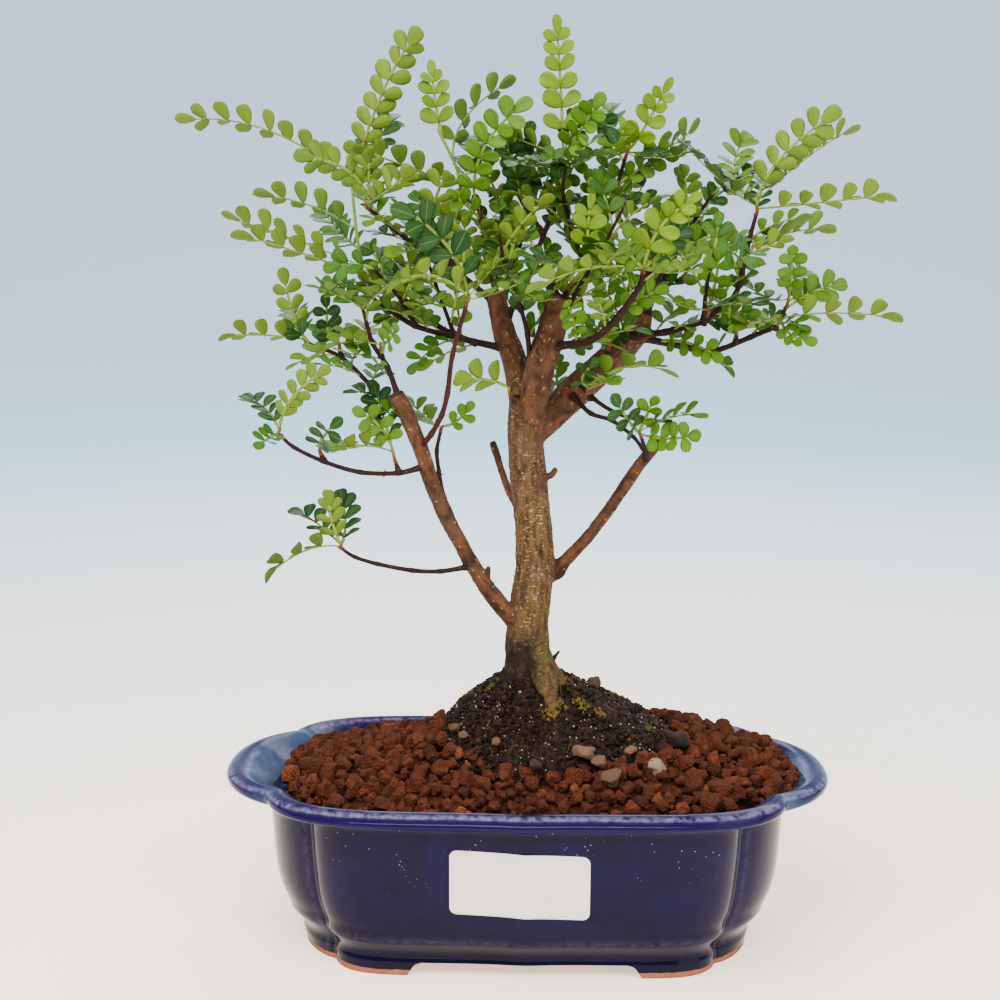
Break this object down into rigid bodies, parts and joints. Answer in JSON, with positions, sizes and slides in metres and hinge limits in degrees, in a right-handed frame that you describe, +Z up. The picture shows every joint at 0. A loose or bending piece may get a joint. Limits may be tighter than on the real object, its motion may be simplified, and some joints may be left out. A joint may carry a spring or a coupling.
{
  "type": "potted bonsai tree",
  "caption": "Small chinese pepper bonsai with feathery compound leaves, in clay gravel in a lobed, footed blue glazed pot.",
  "frame": {"origin": "middle of the whole object's footprint, on the plane that the pot's feet stand on", "axes": "+Z up, +X along the pot's length to the viewer's right, -Y towards the front with the label"},
  "size_m": [0.2402, 0.1364, 0.309],
  "materials": {
    "blue_glaze": "glossy deep blue glaze, bare terracotta under the feet",
    "drain_plastic": "matte",
    "label_paper": "smooth, blank",
    "clay_gravel": "matte, crumbly reddish-brown clay grains",
    "potting_soil": "matte, dark and fibrous",
    "bark": "matte bark with pale flecks",
    "leaf_pale": "satin leaf, pale green",
    "leaf_light": "satin leaf, light green",
    "leaf_mid": "satin leaf, mid green",
    "leaf_dark": "satin leaf, dark green",
    "leaf_lime": "satin young leaf, yellow-green"
  },
  "bodies": {
    "root": {"pot": "blue_glaze", "drain_mesh_left": "drain_plastic", "drain_mesh_right": "drain_plastic", "label": "label_paper", "clay_gravel": "clay_gravel", "root_ball": "potting_soil", "wood": "bark", "far_left_stem": "leaf_pale", "left_top_stem": "leaf_mid", "upper_stem": "leaf_mid", "crown_stem": "leaf_dark", "lime_stem": "leaf_lime", "right_top_stem": "leaf_light", "right_inner_stem": "leaf_mid", "right_low_stem": "leaf_mid", "right_long_stem": "leaf_pale", "right_small_stem": "leaf_light", "right_arm_stem": "leaf_pale", "front_lime_stem": "leaf_light", "front_bright_stem": "leaf_lime", "bud_stem": "leaf_dark", "red_twig_stem": "leaf_light", "fork_leaf_stem": "leaf_pale", "left_mid_stem": "leaf_light", "left_mid_small_stem": "leaf_dark", "left_mid_inner_stem": "leaf_light", "back_left_stem": "leaf_light", "back_left_inner_stem": "leaf_dark", "left_tip_stem": "leaf_mid", "left_tip_inner_stem": "leaf_pale", "arm_b_stem": "leaf_mid", "arm_a_stem": "leaf_mid", "low_left_stem": "leaf_dark", "fork_twig_stem": "leaf_light", "right_low_end_stem": "leaf_light", "bough_stem": "leaf_dark", "bough_top_stem": "leaf_dark", "bough_back_stem": "leaf_light", "leader_stem": "leaf_mid", "inner_crown_stem": "leaf_dark", "back_right_stem": "leaf_mid", "back_bough_stem": "leaf_mid", "left_back_stem": "leaf_mid", "left_inner_stem": "leaf_dark", "thin_twig_stem": "leaf_dark"}
  },
  "joints": []
}
